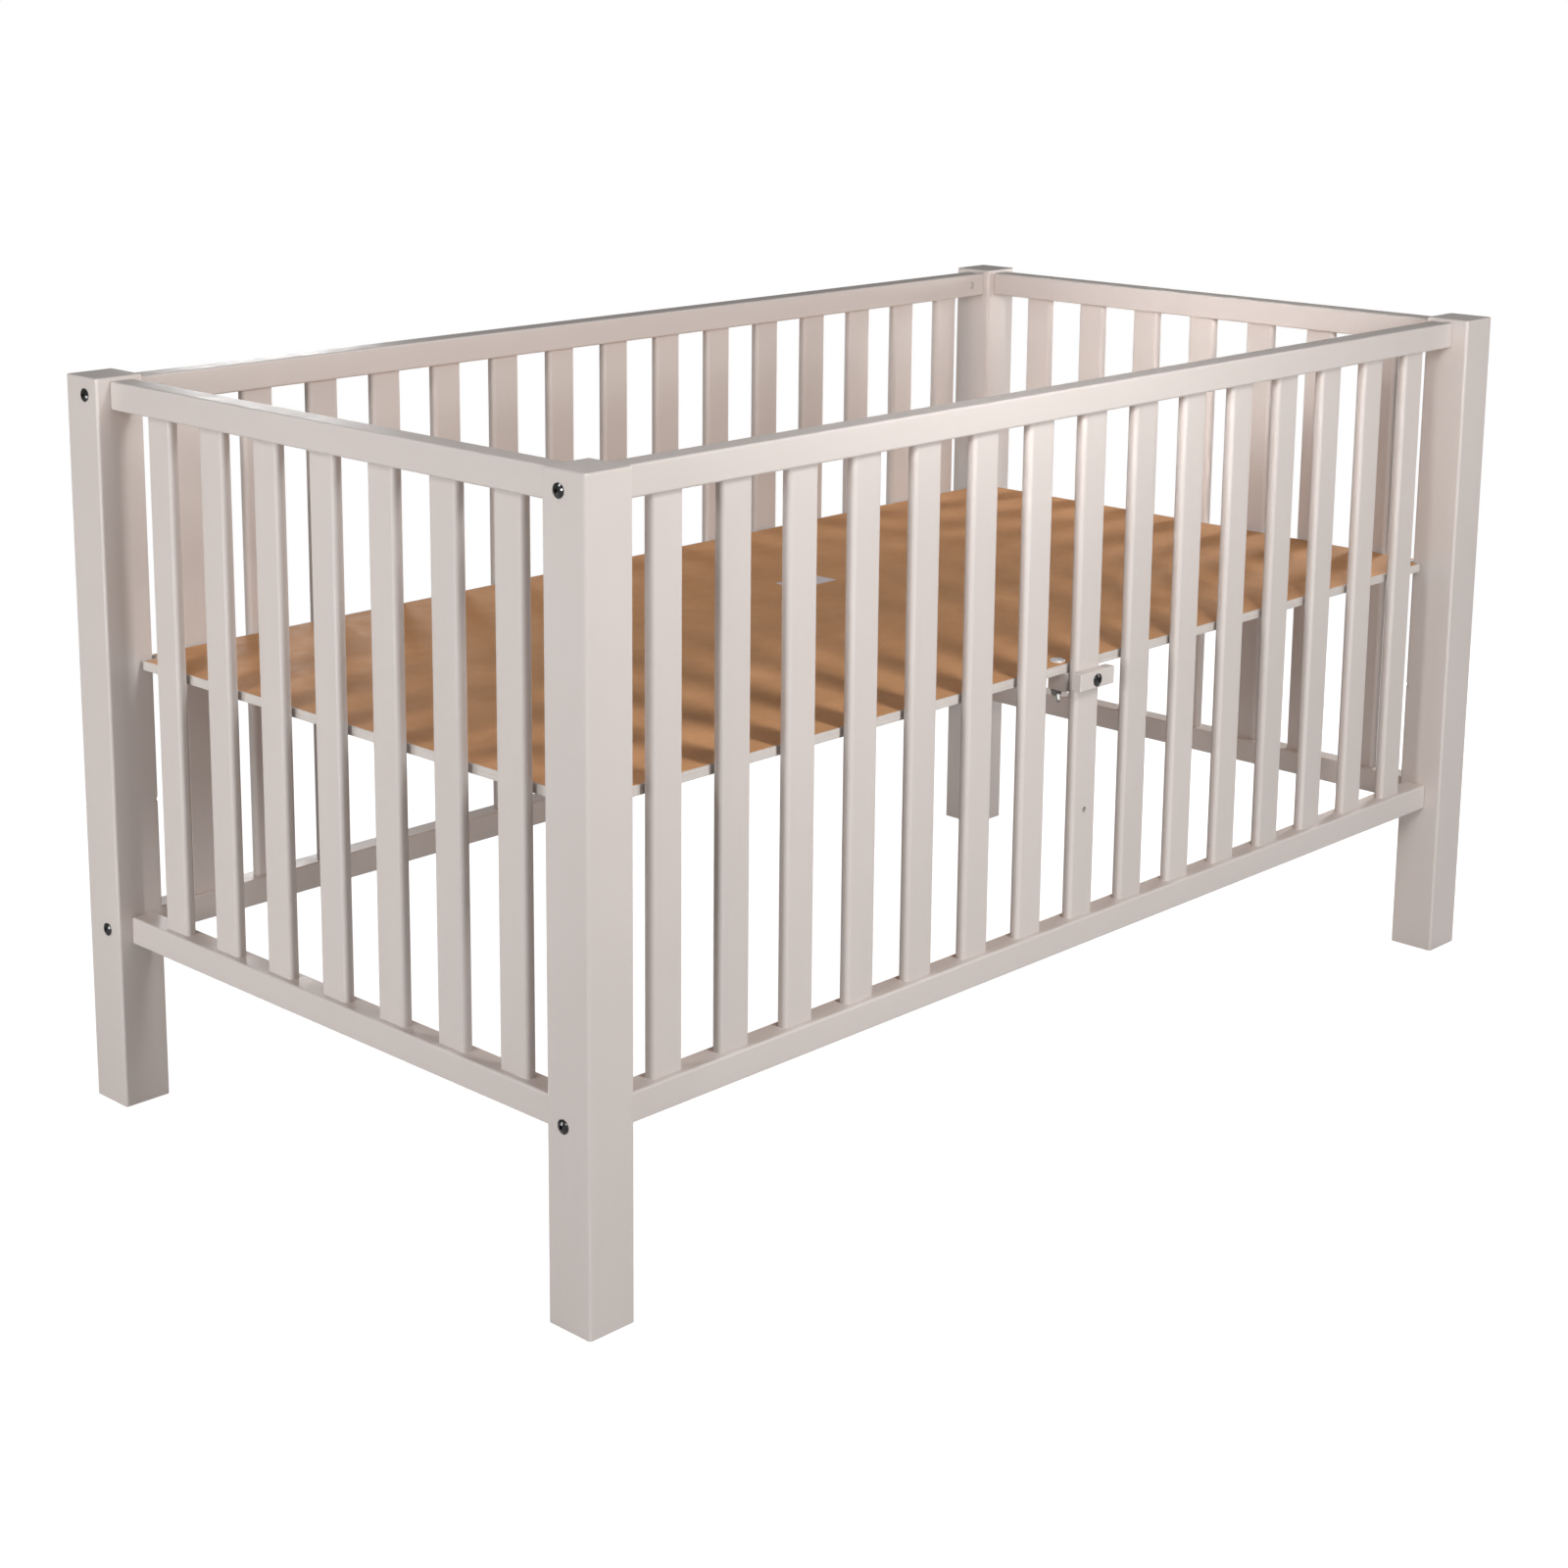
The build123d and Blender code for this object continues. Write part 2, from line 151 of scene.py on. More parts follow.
def painted_wood(name, axis):
    """Satin greige lacquer over sanded beech: long fine grain telegraphs through the paint along axis."""
    k = Tree(name)
    along, across = 1.6, 46.0
    s = [across, across, across]
    s["XYZ".index(axis)] = along
    grain_v = k.mapping(tuple(s))
    wander = k.noise(k.mapping((3.1, 3.1, 3.1)), 1.0, 2)
    grain_v2 = k.new("ShaderNodeVectorMath", operation="ADD")
    k.link(grain_v, grain_v2.inputs[0])
    shift = k.new("ShaderNodeVectorMath", operation="SCALE")
    k.link(wander, shift.inputs[0])
    shift.inputs["Scale"].default_value = 3.0
    k.link(shift.outputs[0], grain_v2.inputs[1])
    grain = k.noise(grain_v2.outputs[0], 1.0, 7, 0.62, 0.6)
    s2 = [v * 6.5 for v in s]
    s2["XYZ".index(axis)] = 14.0
    pores = k.noise(k.mapping(tuple(s2), loc=(3.1, 7.7, 1.3)), 1.0, 3, 0.7)
    pore_mask = k.remap(pores, 0.60, 0.74, 0.0, 1.0)
    cloud = k.noise(k.mapping((1, 1, 1), loc=(5, 2, 9)), 5.5, 3, 0.5)
    peel = k.noise(k.mapping((1, 1, 1)), 620.0, 2, 0.45)
    fleck = k.noise(k.mapping((1, 1, 1), loc=(11, 4, 2)), 1500.0, 1, 0.5)
    edge = k.attribute("edge")
    tone = k.attribute("tone")
    # colour
    g = k.remap(grain, 0.30, 0.70, 0.0, 1.0)
    c = k.mix(g, (PAINT[0] * 0.990, PAINT[1] * 0.989, PAINT[2] * 0.987), (PAINT[0] * 1.007, PAINT[1] * 1.007, PAINT[2] * 1.008))
    c = k.mix(k.remap(cloud, 0.32, 0.68, 0.0, 0.42), c, (PAINT[0] * 0.95, PAINT[1] * 0.945, PAINT[2] * 0.935))
    c = k.mix(k.math("MULTIPLY", pore_mask, 0.07), c, (0.47, 0.41, 0.37))
    # painted highlight: the rounded long edges are lightened in a noise-broken pattern, standing in for the soft
    # highlights they catch
    painted_edge_highlight = k.math("MULTIPLY", edge, k.remap(k.noise(k.mapping(tuple(v * 0.9 for v in s), loc=(1, 8, 3)), 1.0, 4, 0.7), 0.38, 0.72, 0.0, 0.55))
    c = k.mix(painted_edge_highlight, c, (0.755, 0.700, 0.668))
    tint = k.remap(tone, -1.0, 1.0, 0.968, 1.032)
    scale = k.new("ShaderNodeVectorMath", operation="SCALE")
    k.link(c, scale.inputs[0])
    k.link(tint, scale.inputs["Scale"])
    k.link(scale.outputs[0], k.b.inputs["Base Color"])
    # gloss
    rough = k.remap(k.noise(k.mapping((1, 1, 1), loc=(2, 6, 4)), 34.0, 5, 0.6), 0.3, 0.7, 0.36, 0.47)
    rough = k.math("ADD", rough, k.math("MULTIPLY", g, 0.014))
    rough = k.math("SUBTRACT", rough, k.math("MULTIPLY", edge, 0.05))
    k.link(rough, k.b.inputs["Roughness"])
    k.b.inputs["IOR"].default_value = 1.48
    # relief: grain ridges, pores, sprayed paint
    n = k.bump(g, 0.00005, 0.30)
    n = k.bump(k.math("SUBTRACT", 1.0, pore_mask), 0.00006, 0.35, n)
    n = k.bump(peel, 0.00010, 0.46, n)
    n = k.bump(fleck, 0.00003, 0.35, n)
    k.link(n, k.b.inputs["Normal"])
    return k.m


def fibreboard():
    """Bare, hard-pressed fibreboard face: fine felted fibres, faint press marks, slight waxy sheen."""
    k = Tree("fibreboard_face")
    base = k.mapping((1, 1, 1))
    cloud = k.noise(k.mapping((1, 1.5, 1), loc=(2, 1, 0)), 4.2, 4, 0.55, 0.4)
    blot = k.noise(k.mapping((1, 1, 1), loc=(7, 3, 0)), 38.0, 4, 0.6, 0.3)
    fibre_a = k.noise(k.mapping((260, 1400, 300), rot=(0, 0, 0.35)), 1.0, 3, 0.7, 0.5)
    fibre_b = k.noise(k.mapping((1300, 240, 300), rot=(0, 0, 0.22), loc=(4, 4, 4)), 1.0, 3, 0.7, 0.5)
    speck = k.new("ShaderNodeTexVoronoi")
    speck.inputs["Scale"].default_value = 520.0
    speck.inputs["Randomness"].default_value = 1.0
    k.link(base, speck.inputs["Vector"])
    dark = k.remap(speck.outputs["Distance"], 0.0, 0.16, 1.0, 0.0)
    some = k.remap(k.noise(k.mapping((1, 1, 1), loc=(9, 9, 2)), 210.0, 2), 0.56, 0.66, 0.0, 1.0)
    dark = k.math("MULTIPLY", dark, some)
    fibre = k.math("MULTIPLY", k.math("ADD", fibre_a, fibre_b), 0.5)
    c = k.mix(k.remap(cloud, 0.3, 0.7, 0.0, 1.0), (0.545, 0.274, 0.121), (0.672, 0.350, 0.166))
    c = k.mix(k.remap(blot, 0.35, 0.7, 0.0, 0.30), c, (0.495, 0.243, 0.104))
    c = k.mix(k.remap(fibre, 0.40, 0.62, 0.0, 0.42), c, (0.770, 0.420, 0.210))
    c = k.mix(k.math("MULTIPLY", dark, 0.55), c, (0.240, 0.120, 0.062))
    k.link(c, k.b.inputs["Base Color"])
    rough = k.remap(blot, 0.3, 0.7, 0.58, 0.74)
    k.b.inputs["Specular IOR Level"].default_value = 0.14
    k.link(rough, k.b.inputs["Roughness"])
    n = k.bump(fibre, 0.00006, 0.5)
    n = k.bump(cloud, 0.0012, 0.10, n)
    k.link(n, k.b.inputs["Normal"])
    return k.m


def edge_paint():
    """Thin greige paint on the sawn edge of the board: the layered core shows as faint lines along it."""
    k = Tree("painted_board_edge")
    layers = k.noise(k.mapping((6, 6, 900), loc=(0, 0, 3)), 1.0, 3, 0.6, 0.2)
    saw = k.noise(k.mapping((420, 420, 30)), 1.0, 3, 0.6)
    blot = k.noise(k.mapping((1, 1, 1)), 45.0, 4, 0.6)
    c = k.mix(k.remap(layers, 0.35, 0.65, 0.0, 1.0), (0.600, 0.548, 0.512), (0.690, 0.640, 0.604))
    c = k.mix(k.remap(blot, 0.45, 0.75, 0.0, 0.22), c, (0.560, 0.470, 0.400))
    k.link(c, k.b.inputs["Base Color"])
    k.link(k.remap(blot, 0.3, 0.7, 0.48, 0.62), k.b.inputs["Roughness"])
    n = k.bump(layers, 0.00012, 0.5)
    n = k.bump(saw, 0.00008, 0.5, n)
    k.link(n, k.b.inputs["Normal"])
    return k.m


def black_steel():
    """Black-oxide bolts: oily sheen with brushed and dulled patches."""
    k = Tree("black_oxide_steel")
    patch = k.noise(k.mapping((1, 1, 1)), 420.0, 5, 0.65)
    fine = k.noise(k.mapping((1, 1, 1), loc=(3, 3, 3)), 3800.0, 3, 0.6)
    c = k.mix(k.remap(patch, 0.4, 0.7, 0.0, 1.0), (0.006, 0.006, 0.007), (0.018, 0.017, 0.018))
    k.link(c, k.b.inputs["Base Color"])
    k.link(k.remap(patch, 0.3, 0.7, 0.14, 0.28), k.b.inputs["Roughness"])
    k.b.inputs["Metallic"].default_value = 0.0
    k.b.inputs["Specular IOR Level"].default_value = 0.50
    k.b.inputs["Coat Weight"].default_value = 1.0
    k.b.inputs["Coat Roughness"].default_value = 0.05
    k.link(k.bump(fine, 0.00001, 0.5), k.b.inputs["Normal"])
    return k.m


def zinc_steel(name, cool, warm, metallic):
    """Zinc plate: faint blue and straw passivation colours, spangle and tiny scuffs."""
    k = Tree(name)
    spangle = k.new("ShaderNodeTexVoronoi")
    spangle.inputs["Scale"].default_value = 640.0
    k.link(k.mapping((1, 1, 1)), spangle.inputs["Vector"])
    tint = k.noise(k.mapping((1, 1, 1), loc=(1, 2, 3)), 150.0, 3, 0.5)
    scuff = k.noise(k.mapping((900, 5200, 2500), rot=(0.3, 0.2, 0.6)), 1.0, 3, 0.6)
    c = k.mix(k.remap(tint, 0.35, 0.65, 0.0, 1.0), cool, warm)
    c = k.mix(k.math("MULTIPLY", spangle.outputs["Distance"], 0.22), c, (0.500, 0.505, 0.510))
    k.link(c, k.b.inputs["Base Color"])
    k.b.inputs["Metallic"].default_value = metallic
    r = k.remap(scuff, 0.35, 0.7, 0.22, 0.40)
    k.link(r, k.b.inputs["Roughness"])
    k.link(k.bump(scuff, 0.00001, 0.6, k.bump(spangle.outputs["Distance"], 0.00002, 0.35)), k.b.inputs["Normal"])
    return k.m


def label_paper():
    """Blank paper sticker, slightly pink-grey, with paper fibre and a soft semi-gloss."""
    k = Tree("blank_label_paper")
    fibre = k.noise(k.mapping((900, 2200, 900), rot=(0, 0, 0.5)), 1.0, 4, 0.65)
    cloud = k.noise(k.mapping((1, 1, 1)), 60.0, 3, 0.5)
    c = k.mix(k.remap(cloud, 0.3, 0.7, 0.0, 1.0), (0.660, 0.600, 0.625), (0.745, 0.700, 0.720))
    c = k.mix(k.remap(fibre, 0.5, 0.75, 0.0, 0.25), c, (0.560, 0.510, 0.530))
    k.link(c, k.b.inputs["Base Color"])
    k.link(k.remap(fibre, 0.3, 0.7, 0.38, 0.52), k.b.inputs["Roughness"])
    k.link(k.bump(fibre, 0.00003, 0.5), k.b.inputs["Normal"])
    return k.m


WOOD = {a: painted_wood("painted_wood_" + a.lower(), a) for a in "XYZ"}
FIBRE, EDGE, BLACK, LABEL = fibreboard(), edge_paint(), black_steel(), label_paper()
ZINC = zinc_steel("bright_zinc_plate", (0.820, 0.850, 0.880), (0.900, 0.880, 0.830), 0.42)
# painted shade: a dark zinc colour standing in for the shade the wing nuts and corner supports sit in
ZINC_SHADE_DARKENED = zinc_steel("shade_darkened_zinc_plate", (0.270, 0.275, 0.280), (0.330, 0.315, 0.280), 0.85)


# ------------------------------------------------------------------ mesh helpers
AXES = {"X": (1, 2, 0), "Y": (2, 0, 1), "Z": (0, 1, 2)}   # u, v, w of a right-handed section


def section(hu, hv, r, seg, sup):
    """A rounded rectangle, counter-clockwise, with holding points beside each arc."""
    pts = []
    for su, sv, a0 in ((1, 1, 0.0), (-1, 1, 0.5), (-1, -1, 1.0), (1, -1, 1.5)):
        a = a0 * math.pi
        cu, cv = su * (hu - r), sv * (hv - r)
        t0, t1 = (-math.sin(a), math.cos(a)), (-math.cos(a), -math.sin(a))
        p0 = (cu + r * math.cos(a), cv + r * math.sin(a))
        pts.append((p0[0] - sup * t0[0], p0[1] - sup * t0[1]))
        for i in range(seg + 1):
            b = a + 0.5 * math.pi * i / seg
            pts.append((cu + r * math.cos(b), cv + r * math.sin(b)))
        p1 = pts[-1]
        pts.append((p1[0] + sup * t1[0], p1[1] + sup * t1[1]))
    return pts


def loft(axis, centre, stations, seg=6, sup=0.0012):
    """Closed mesh through sections. Each station is (position along axis, half width u, half width v, radius)."""
    iu, iv, iw = AXES[axis]
    verts, faces = [], []
    n = 4 * (seg + 3)
    for w, hu, hv, r in stations:
        for u, v in section(hu, hv, r, seg, min(sup, 0.45 * (min(hu, hv) - r))):
            p = [0.0, 0.0, 0.0]
            p[iu], p[iv], p[iw] = centre[iu] + u, centre[iv] + v, centre[iw] + w
            verts.append(p)
    for i in range(len(stations) - 1):
        for j in range(n):
            k = (j + 1) % n
            faces.append((i * n + j, i * n + k, (i + 1) * n + k, (i + 1) * n + j))
    faces.append(tuple(reversed(range(n))))
    faces.append(tuple((len(stations) - 1) * n + j for j in range(n)))
    return verts, faces


def bar_stations(half, hu, hv, r, end0, end1, sup=0.0012, step=0.06, eseg=4):
    """Stations of a bar with rounded ends of radius end0 and end1."""
    out = []

    def rounded(e, sign):
        ring = []
        if e <= 0:
            return [(sign * half, hu, hv, r)]
        for i in range(eseg + 1):
            f = 0.5 * math.pi * i / eseg
            d, t = e * (1 - math.sin(f)), e * (1 - math.cos(f))
            ring.append((sign * (half - t), hu - d, hv - d, max(r - d, 0.0002)))
        ring.append((sign * (half - e - sup), hu, hv, r))
        return ring

    a, b = rounded(end0, -1), rounded(end1, 1)
    out += a
    w0, w1 = a[-1][0], b[-1][0]
    count = max(1, int(round((w1 - w0) / step)))
    out += [(w0 + (w1 - w0) * i / count, hu, hv, r) for i in range(1, count)]
    out += reversed(b)
    return out


def mesh_object(name, verts, faces):
    me = bpy.data.meshes.new(name)
    me.from_pydata([tuple(v) for v in verts], [], faces)
    me.validate()
    me.update()
    o = bpy.data.objects.new(name, me)
    scene.collection.objects.link(o)
    return o


def joined(parts):
    verts, faces = [], []
    for v, f in parts:
        k = len(verts)
        verts += v
        faces += [tuple(i + k for i in g) for g in f]
    return verts, faces


def round_hole(p, d, r, length, n=40):
    """Cutter: a cylinder from p along d."""
    d = Vector(d).normalized()
    m = d.to_track_quat("Z", "Y").to_matrix()
    verts = []
    for z in (0.0, length):
        for i in range(n):
            a = 2 * math.pi * i / n
            verts.append(tuple(Vector(p) + m @ Vector((r * math.cos(a), r * math.sin(a), z))))
    faces = [(i, (i + 1) % n, n + (i + 1) % n, n + i) for i in range(n)]
    faces += [tuple(reversed(range(n))), tuple(range(n, 2 * n))]
    return verts, faces


def pocket(lo, hi):
    x0, y0, z0 = lo
    x1, y1, z1 = hi
    v = [(x0, y0, z0), (x1, y0, z0), (x1, y1, z0), (x0, y1, z0), (x0, y0, z1), (x1, y0, z1), (x1, y1, z1), (x0, y1, z1)]
    f = [(3, 2, 1, 0), (4, 5, 6, 7), (0, 1, 5, 4), (1, 2, 6, 5), (2, 3, 7, 6), (3, 0, 4, 7)]
    return v, f


def applied(o):
    deps = bpy.context.evaluated_depsgraph_get()
    me = bpy.data.meshes.new_from_object(o.evaluated_get(deps))
    o.modifiers.clear()
    o.data = me
    return o


def cut(o, *groups):
    """Subtracts each group of closed cutters in turn."""
    for group in groups:
        tool = mesh_object("cutter", *joined(group))
        m = o.modifiers.new("cut", "BOOLEAN")
        m.operation, m.solver, m.object = "DIFFERENCE", "EXACT", tool
        bpy.context.view_layer.update()
        applied(o)
        bpy.data.objects.remove(tool)
    return o


def finish_piece(o, node, body, material, edge=None, tone=None, sharp=38):
    """Smooth shading with crisp holes, edge and tone attributes (the edge mask carries a painted highlight on the
    rounded edges), material, and its place in the frame.
    """
    me = o.data
    me.materials.clear()
    me.materials.append(material)
    co = np.array([v.co for v in me.vertices], float).reshape(-1, 3)
    for name, values in (("edge", edge(co) if edge else np.zeros(len(co))), ("tone", tone(co) if tone else np.zeros(len(co)))):
        a = me.attributes.get(name) or me.attributes.new(name, "FLOAT", "POINT")
        a.data.foreach_set("value", np.asarray(values, np.float32))
    me.polygons.foreach_set("use_smooth", [True] * len(me.polygons))
    me.set_sharp_from_angle(angle=math.radians(sharp))
    w = o.modifiers.new("weighted_normals", "WEIGHTED_NORMAL")
    w.mode, w.weight, w.keep_sharp = "FACE_AREA", 60, True
    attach(o, body)
    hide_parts(node)
    return o


def bar_edge(axis, centre, hu, hv, r):
    """1 on the rounded long edges of a bar, 0 on its flats."""
    iu, iv, _ = AXES[axis]

    def f(co):
        u, v = np.abs(co[:, iu] - centre[iu]), np.abs(co[:, iv] - centre[iv])
        return ((u > hu - r + 1e-5) & (v > hv - r + 1e-5)).astype(float)
    return f


def hash_tone(seed):
    x = math.sin(seed * 12.9898 + 4.1) * 43758.5453
    return 2 * (x - math.floor(x)) - 1


# ------------------------------------------------------------------ posts
corners = {"front_left": (-1, -1), "front_right": (1, -1), "rear_left": (-1, 1), "rear_right": (1, 1)}
BOLT_Z = (BOT_Z + RAIL_H / 2, TOP_Z + RAIL_H / 2)
for i, (name, (sx, sy)) in enumerate(corners.items()):
    c = (sx * (LENGTH / 2 - POST / 2), sy * (WIDTH / 2 - POST / 2), POST_H / 2)
    o = mesh_object("painted_post_" + name, *loft("Z", c, bar_stations(POST_H / 2, POST / 2, POST / 2, 0.003, 0.0008, 0.002), seg=7))
    q = 0.5 ** 0.5
    holes = [round_hole((sx * IN_X - 4 * MM * sx * q, sy * IN_Y - 4 * MM * sy * q, z), (sx * q, sy * q, 0), 0.003, 0.038) for z in (PEG_Z, PEG_Z - STEP)]
    bolts = [round_hole((sx * (LENGTH / 2 + 0.002), sy * SIDE_Y, z), (-sx, 0, 0), 0.0033, POST + 0.004) for z in BOLT_Z]
    tenons = []
    for z in (BOT_Z, TOP_Z):
        y0, y1 = sorted((sy * (IN_Y - 0.001), sy * (IN_Y + 0.018)))
        tenons.append(pocket((sx * END_X - 0.007, y0, z + 0.005), (sx * END_X + 0.007, y1, z + 0.025)))
    cut(o, holes, bolts, tenons)
    t = hash_tone(i + 1) * 0.6
    finish_piece(o, "post_" + name, "crib_frame", WOOD["Z"],
                 edge=bar_edge("Z", c, POST / 2, POST / 2, 0.003), tone=lambda co, t=t: np.full(len(co), t))

# ------------------------------------------------------------------ rails
def rail_object(name, axis, centre, half, tenon):
    st = bar_stations(half, RAIL_H / 2 if axis == "Y" else RAIL_T / 2, RAIL_T / 2 if axis == "Y" else RAIL_H / 2, 0.0025, 0.002, 0.002)
    if tenon:
        tu, tv = (0.010, 0.007) if axis == "Y" else (0.007, 0.010)
        e = half + 0.018
        st = [(-e, tu, tv, 0.0006), (-half, tu, tv, 0.0006)] + st + [(half, tu, tv, 0.0006), (e, tu, tv, 0.0006)]
    return mesh_object(name, *loft(axis, centre, st, seg=6))


k = 10
for end, sx in (("left", -1), ("right", 1)):
    for level, z in (("top", TOP_Z), ("bottom", BOT_Z)):
        c = (sx * END_X, 0.0, z + RAIL_H / 2)
        o = rail_object(f"painted_end_{end}_{level}_rail", "Y", c, IN_Y, True)
        zs = (z - 0.001, z + SLAT_IN) if level == "top" else (z + RAIL_H - SLAT_IN, z + RAIL_H + 0.001)
        cut(o, [pocket((c[0] - TONGUE_T / 2, y - TONGUE_W / 2, zs[0]), (c[0] + TONGUE_T / 2, y + TONGUE_W / 2, zs[1])) for y in END_SLAT_Y])
        k += 1
        t = hash_tone(k) * 0.7
        finish_piece(o, f"end_{end}_{level}_rail", "crib_frame", WOOD["Y"],
                     edge=bar_edge("Y", c, RAIL_H / 2, RAIL_T / 2, 0.0025), tone=lambda co, t=t: np.full(len(co), t))
for side, sy in (("front", -1), ("rear", 1)):
    for level, z in (("top", TOP_Z), ("bottom", BOT_Z)):
        c = (0.0, sy * SIDE_Y, z + RAIL_H / 2)
        o = rail_object(f"painted_side_{side}_{level}_rail", "X", c, IN_X, False)
        zs = (z - 0.001, z + SLAT_IN) if level == "top" else (z + RAIL_H - SLAT_IN, z + RAIL_H + 0.001)
        mort = [pocket((x - TONGUE_W / 2, c[1] - TONGUE_T / 2, zs[0]), (x + TONGUE_W / 2, c[1] + TONGUE_T / 2, zs[1])) for x in SIDE_SLAT_X]
        bolt = [round_hole((sx * (IN_X + 0.001), sy * SIDE_Y, c[2]), (-sx, 0, 0), 0.0033, 0.042) for sx in (-1, 1)]
        dowel = [round_hole((sx * (IN_X - 0.026), sy * (SIDE_Y - RAIL_T / 2 - 0.001), c[2]), (0, sy, 0), 0.005, 0.001 + RAIL_T / 2 + 0.008) for sx in (-1, 1)]
        cut(o, mort, bolt, dowel)
        k += 1
        t = hash_tone(k) * 0.7
        finish_piece(o, f"side_{side}_{level}_rail", "crib_frame", WOOD["X"],
                     edge=bar_edge("X", c, RAIL_T / 2, RAIL_H / 2, 0.0025), tone=lambda co, t=t: np.full(len(co), t))


# ------------------------------------------------------------------ slats
def slat_parts(cx, cy, axis):
    """One slat: rounded blade with a shouldered tongue at each end."""
    w, t = (SLAT_W / 2, SLAT_T / 2) if axis == "X" else (SLAT_T / 2, SLAT_W / 2)
    tw, tt = (TONGUE_W / 2, TONGUE_T / 2) if axis == "X" else (TONGUE_T / 2, TONGUE_W / 2)
    z0, z1 = BOT_Z + RAIL_H, TOP_Z
    half = (z1 - z0) / 2
    e = half + SLAT_IN - 0.0005
    st = bar_stations(half, w, t, SLAT_R, 0, 0, step=0.055)
    st = [(-e, tw, tt, 0.0012), (-half, tw, tt, 0.0012)] + st + [(half, tw, tt, 0.0012), (e, tw, tt, 0.0012)]
    return loft("Z", (cx, cy, (z0 + z1) / 2), st, seg=7, sup=0.0009)


def slat_edge(centres, axis):
    def f(co):
        c = np.array(centres)
        i = 0 if axis == "X" else 1
        j = np.abs(co[:, i][:, None] - c[:, i][None]).argmin(1)
        a, b = np.abs(co[:, i] - c[j, i]), np.abs(co[:, 1 - i] - c[j, 1 - i])
        return ((a > SLAT_W / 2 - SLAT_R + 1e-5) & (b > SLAT_T / 2 - SLAT_R + 1e-5)).astype(float)
    return f


def slat_tone(centres, axis, seed):
    def f(co):
        c = np.array(centres)
        i = 0 if axis == "X" else 1
        j = np.abs(co[:, i][:, None] - c[:, i][None]).argmin(1)
        return np.array([hash_tone(seed + 3.7 * n) for n in range(len(c))])[j]
    return f


for end, sx in (("left", -1), ("right", 1)):
    cs = [(sx * END_X, y) for y in END_SLAT_Y]
    o = mesh_object(f"painted_end_{end}_slats", *joined([slat_parts(x, y, "Y") for x, y in cs]))
    finish_piece(o, f"end_{end}_slats", "crib_frame", WOOD["Z"], edge=slat_edge(cs, "Y"), tone=slat_tone(cs, "Y", 50 + sx))
for side, sy in (("front", -1), ("rear", 1)):
    cs = [(x, sy * SIDE_Y) for i, x in enumerate(SIDE_SLAT_X) if i != 7]
    o = mesh_object(f"painted_side_{side}_slats", *joined([slat_parts(x, y, "X") for x, y in cs]))
    finish_piece(o, f"side_{side}_slats", "crib_frame", WOOD["Z"], edge=slat_edge(cs, "X"), tone=slat_tone(cs, "X", 70 + sy))
    cs = [(SIDE_SLAT_X[7], sy * SIDE_Y)]
    o = mesh_object(f"painted_side_{side}_centre_slat", *slat_parts(cs[0][0], cs[0][1], "X"))
    cut(o, [round_hole((0, sy * (SIDE_Y + 0.02), z), (0, -sy, 0), 0.0033, 0.04) for z in (CLAMP_Z, CLAMP_Z - STEP)])
    finish_piece(o, f"side_{side}_centre_slat", "crib_frame", WOOD["Z"], edge=slat_edge(cs, "X"), tone=slat_tone(cs, "X", 90 + sy))

# ------------------------------------------------------------------ bed base
BX, BY = LENGTH / 2 - 0.040, WIDTH / 2 - 0.043
NX, NY = IN_X - 0.005, IN_Y - 0.005
BAND = 0.0015


def outline(d):
    x, y, u, v = BX - d, BY - d, NX - d, NY - d
    return [(-x, -v), (-u, -v), (-u, -y), (u, -y), (u, -v), (x, -v), (x, v), (u, v), (u, y), (-u, y), (-u, v), (-x, v)]


def swept(profile, caps):
    """Closed solid from (inset, height) points carried round the outline of the base."""
    verts, faces = [], []
    n = 12
    for d, z in profile:
        verts += [(x, y, z) for x, y in outline(d)]
    m = len(profile)
    for i in range(m if not caps else m - 1):
        a, b = i, (i + 1) % m
        for j in range(n):
            j2 = (j + 1) % n
            faces.append((a * n + j, a * n + j2, b * n + j2, b * n + j))
    if caps:
        faces.append(tuple(reversed(range(n))))
        faces.append(tuple((m - 1) * n + j for j in range(n)))
    return verts, faces


z0, z1 = BOARD_Z, BOARD_Z + BOARD_T
e = 0.00025
board = mesh_object("pressed_board", *swept([(BAND + e, z0), (BAND, z0 + e), (BAND, z1 - e), (BAND + e, z1)], True))
dg = 0.0226 * 0.5 ** 0.5
screws = [(sx * (IN_X - dg), sy * (IN_Y - dg)) for sx in (-1, 1) for sy in (-1, 1)] + [(-0.0175, sy * (WIDTH / 2 - 0.0565)) for sy in (-1, 1)]
cut(board, [round_hole((x, y, z0 - 0.001), (0, 0, 1), 0.0033, BOARD_T + 0.002) for x, y in screws])
finish_piece(board, "bed_base_board", "bed_base", FIBRE, sharp=30)
ring = []
ro = 0.0006
for i in range(5):
    f = 0.5 * math.pi * i / 4
    ring.append((ro * (1 - math.sin(f)), z0 + ro * (1 - math.cos(f))))
for i in range(5):
    f = 0.5 * math.pi * i / 4
    ring.append((ro * (1 - math.cos(f)), z1 - ro * (1 - math.sin(f))))
ring += [(BAND - e, z1), (BAND, z1 - e), (BAND, z0 + e), (BAND - e, z0)]
edging = mesh_object("painted_edging", *swept(ring, False))
finish_piece(edging, "bed_base_edging", "bed_base", EDGE, sharp=50)

# blank sticker with rounded corners
lo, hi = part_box("bed_base_blank_label")
lc = (lo + hi) / 2
hx, hy = (hi.x - lo.x) / 2, (hi.y - lo.y) / 2
lab = mesh_object("blank_sticker", *loft("Z", lc, [(-(hi.z - lo.z) / 2, hx, hy, 0.0022), ((hi.z - lo.z) / 2 - 0.00008, hx, hy, 0.0022), ((hi.z - lo.z) / 2, hx - 0.00008, hy - 0.00008, 0.0021)], seg=6, sup=0.0008))
finish_piece(lab, "bed_base_blank_label", "bed_base", LABEL, sharp=60)

